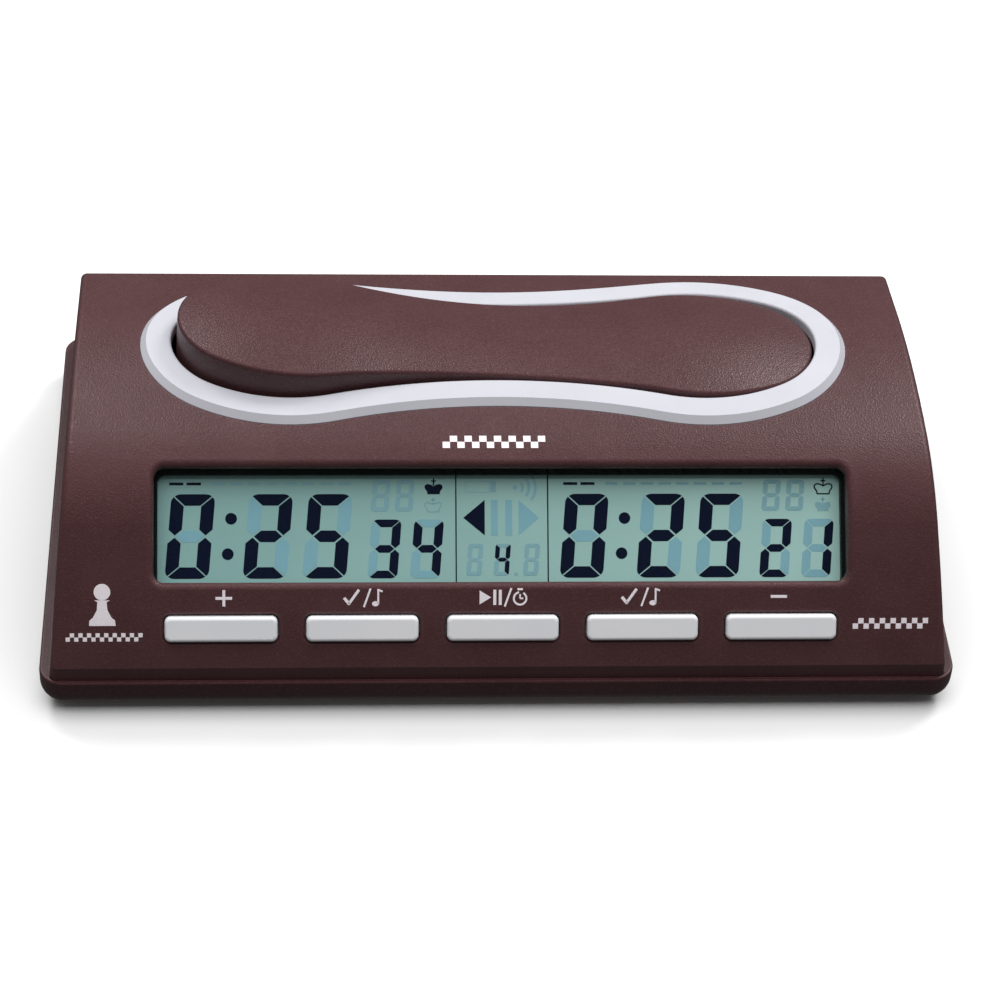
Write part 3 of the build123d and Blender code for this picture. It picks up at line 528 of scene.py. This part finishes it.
def player_block(on, off, faint, start, seconds, filled_king):
    """One player's half: minutes, seconds, a small counter and the king of that player's side."""
    for offset, character in ((0.0, "0"), (14.2, "2"), (25.1, "5")):
        digit(on, off, character, start + offset, DIGIT_LOW, *MINUTE_SIZE)
    on.disc(start + 12.1, 1.5, 1.07)
    on.disc(start + 11.5, -5.0, 1.07)
    for offset, character in zip((37.0, 44.8), seconds):
        digit(on, off, character, start + offset, DIGIT_LOW, *SECOND_SIZE)
    for offset in (37.6, 42.0):
        digit(on, faint, " ", start + offset, 2.8, *COUNTER_SIZE)
    king(on, start + 49.2, 5.95, 3.2, filled_king)
    king(faint, start + 49.1, 2.75, 2.9, not filled_king)
    for left in (0.8, 4.0):
        on.rectangle(start + left, start + left + 2.6, DASH_LOW, DASH_HIGH)
    for index in range(8):
        left = start + 8.6 + index * 3.3
        faint.rectangle(left, left + 2.3, DASH_LOW, DASH_HIGH)


def centre_block(on, off, faint):
    """Arrows for the side to move, a counter and the battery and sound signs."""
    on.polygon([(-6.95, ARROW_TIP), (-3.0, ARROW_LOW), (-3.0, ARROW_HIGH)])
    off.polygon([(7.0, ARROW_TIP), (3.25, ARROW_HIGH), (3.25, ARROW_LOW)])
    for left in (-1.85, 0.8):
        off.rectangle(left, left + 1.25, ARROW_LOW, ARROW_HIGH)
    for x, character in ((-6.5, " "), (-1.45, "4"), (3.95, " ")):
        digit(on, faint, character, x, CENTRE_LOW, *CENTRE_SIZE)
    faint.rectangle(2.4, 3.0, CENTRE_LOW, -8.5)
    battery = [(-6.5, BATTERY_LOW), (-2.1, BATTERY_LOW), (-2.1, BATTERY_HIGH), (-6.5, BATTERY_HIGH)]
    faint.outline(battery, 0.12)
    faint.rectangle(-1.9, -0.9, BATTERY_LOW, BATTERY_HIGH)
    off.disc(*SOUND_PLACE, 0.4)
    for step in range(3):
        off.band(*SOUND_PLACE, 1.4 + step * 1.2, 0.45, -38, 76)


def display_artwork():
    """Segments of the whole display, laid on the front glass: lit, unlit, and small ones barely showing."""
    on = Artwork()
    off = Artwork()
    faint = Artwork()
    player_block(on, off, faint, BLOCK_STARTS[0], "34", True)
    player_block(on, off, faint, BLOCK_STARTS[1], "21", False)
    centre_block(on, off, faint)
    for x in DIVIDERS:
        on.rectangle(x - 0.12, x + 0.12, -11.2, 11.2)
    low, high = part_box("display_window")
    centre = (low + high) / 2
    glass = surface_tree("display_glass_front")
    up = spot_on(glass, 0, centre.z / MM)[1]
    lay("display_segments_on", on, glass, centre, up, "segment_on")
    lay("display_segments_off", off, glass, centre, up, "segment_off")
    lay("display_segments_faint", faint, glass, centre, up, "segment_faint")


# ---------------------------------------------------------------- printed marks
def plus_sign(art):
    art.rectangle(-SIGN_REACH, SIGN_REACH, -SIGN_HALF, SIGN_HALF)
    art.rectangle(-SIGN_HALF, SIGN_HALF, SIGN_HALF, SIGN_REACH)
    art.rectangle(-SIGN_HALF, SIGN_HALF, -SIGN_REACH, -SIGN_HALF)


def minus_sign(art):
    art.rectangle(-SIGN_REACH, SIGN_REACH, -SIGN_HALF, SIGN_HALF)


def slash(art, x):
    art.bar(x - 0.6, -1.7, x + 0.6, 1.7, 0.36)


def confirm_sign(art):
    """A tick, a slash and a note."""
    art.bar(-3.6, 0.0, -2.6, -1.2, 0.55)
    art.bar(-2.8, -1.2, -0.9, 1.5, 0.5)
    slash(art, 0.6)
    art.disc(2.1, -1.1, 0.62, 0.75)
    art.bar(2.6, -1.1, 2.6, 1.6, 0.34)
    art.bar(2.5, 1.5, 3.4, 1.15, 0.34)


def play_pause_sign(art):
    """A triangle, two bars, a slash and a stopwatch."""
    art.polygon([(-4.3, -1.3), (-2.2, 0.0), (-4.3, 1.3)])
    for left in (-1.8, -0.8):
        art.rectangle(left, left + 0.55, -1.4, 1.4)
    slash(art, 0.9)
    x, y = 3.1, -0.2
    art.band(x, y, 1.15, 0.36, 100, 170)
    art.band(x, y, 1.15, 0.36, 270, 150)
    art.bar(x, y, x, 0.6, 0.3)
    art.bar(x, y, 3.7, y, 0.3)
    art.bar(2.6, 1.5, 3.6, 1.5, 0.36)


def pawn(art):
    """A plain pawn standing on its base."""
    art.disc(0, 6.2, 1.5)
    right = [(2.4, 0.0), (2.3, 1.0), (1.7, 1.5), (0.95, 2.9), (0.85, 4.4), (1.45, 4.7)]
    art.polygon(right + [(-x, y) for x, y in right[::-1]])


def chequers(art, columns, rows, square):
    """A centred strip of alternating squares."""
    for column in range(columns):
        for row in range(column % 2, rows, 2):
            x = (column - columns / 2) * square
            y = (row - rows / 2) * square
            art.rectangle(x, x + square, y, y + square)


def mark(name, tree, x, z, draw, *sizes):
    """Print one mark on the shell at x and z millimetres."""
    art = Artwork()
    draw(art, *sizes)
    origin, up = spot_on(tree, x, z)
    lay("mark_" + name, art, tree, origin, up, "print")


def printed_marks():
    """Key symbols over the keys, and plain ornaments where the real clock has lettering."""
    shell = surface_tree("top_shell")
    signs = (plus_sign, confirm_sign, play_pause_sign, confirm_sign, minus_sign)
    for key, sign in zip(KEYS, signs):
        low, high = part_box("key_" + key)
        mark(key, shell, (low.x + high.x) / 2 / MM * MARK_GATHER, MARK_Z, sign)
    mark("pawn", shell, -72.6, 17.9, pawn)
    mark("strip_left", shell, -72.3, 16.1, chequers, 18, 2, 0.77)
    mark("strip_right", shell, 71.5, 17.8, chequers, 14, 2, 1.0)
    mark("strip_top", shell, -1.4, 40.8, chequers, 14, 2, 1.35)


# ---------------------------------------------------------------- studio
def soft_light(name, place, aim, width, height, power, shine=True):
    """A rectangular softbox facing a point; without shine it lights things but isn't mirrored in them."""
    data = bpy.data.lights.new(name, "AREA")
    data.shape = "RECTANGLE"
    data.size = width
    data.size_y = height
    data.energy = power
    light = bpy.data.objects.new(name, data)
    light.location = place
    light.visible_glossy = shine
    light.rotation_euler = (Vector(aim) - Vector(place)).to_track_quat("-Z", "Y").to_euler()
    bpy.context.scene.collection.objects.link(light)


def sweep_floor():
    """A wide pale floor a hair below the soles, which throws no light of its own back at the clock."""
    mesh = bmesh.new()
    bmesh.ops.create_grid(mesh, x_segments=8, y_segments=8, size=4.0)
    data = bpy.data.meshes.new("floor")
    mesh.to_mesh(data)
    mesh.free()
    data.materials.append(MATERIALS["floor"])
    floor = bpy.data.objects.new("floor", data)
    floor.location.z = FLOOR_Z * MM
    floor.visible_diffuse = False
    floor.visible_glossy = False
    bpy.context.scene.collection.objects.link(floor)


def studio():
    """White sweep, even surroundings, a big softbox overhead and one behind on each side."""
    sweep_floor()
    world = bpy.data.worlds.new("studio")
    world.use_nodes = True
    background = world.node_tree.nodes["Background"]
    background.inputs["Color"].default_value = (1.0, 1.0, 1.0, 1.0)
    background.inputs["Strength"].default_value = 0.12
    bpy.context.scene.world = world
    soft_light("overhead", (0.0, -0.15, 3.0), (0, 0, 0), 3.6, 2.7, 94.0, shine=False)
    soft_light("left_back", (-0.4, 0.62, 0.8), (0, 0, 0.02), 0.3, 0.35, 3.2)
    soft_light("right_back", (0.55, 0.5, 0.8), (0, 0, 0.02), 0.3, 0.35, 4.4)
    bpy.context.scene.view_settings.view_transform = "Standard"


def camera():
    """The camera, turned about its own axis by a small roll."""
    azimuth = radians(CAMERA_AZIMUTH)
    elevation = radians(CAMERA_ELEVATION)
    roll = radians(CAMERA_ROLL)
    back = Vector((sin(azimuth) * cos(elevation), -cos(azimuth) * cos(elevation), sin(elevation)))
    level = Vector((cos(azimuth), sin(azimuth), 0))
    upright = back.cross(level)
    right = level * cos(roll) + upright * sin(roll)
    up = upright * cos(roll) - level * sin(roll)
    data = bpy.data.cameras.new("camera")
    data.lens = CAMERA_LENS
    data.sensor_width = 36.0
    data.shift_x = CAMERA_SHIFT
    view = bpy.data.objects.new("camera", data)
    turn = Matrix((right, up, back)).transposed().to_4x4()
    view.matrix_world = Matrix.Translation(CAMERA_TARGET + back * CAMERA_DISTANCE) @ turn
    bpy.context.scene.collection.objects.link(view)
    bpy.context.scene.camera = view


dress_nodes()
display_artwork()
printed_marks()
studio()
camera()
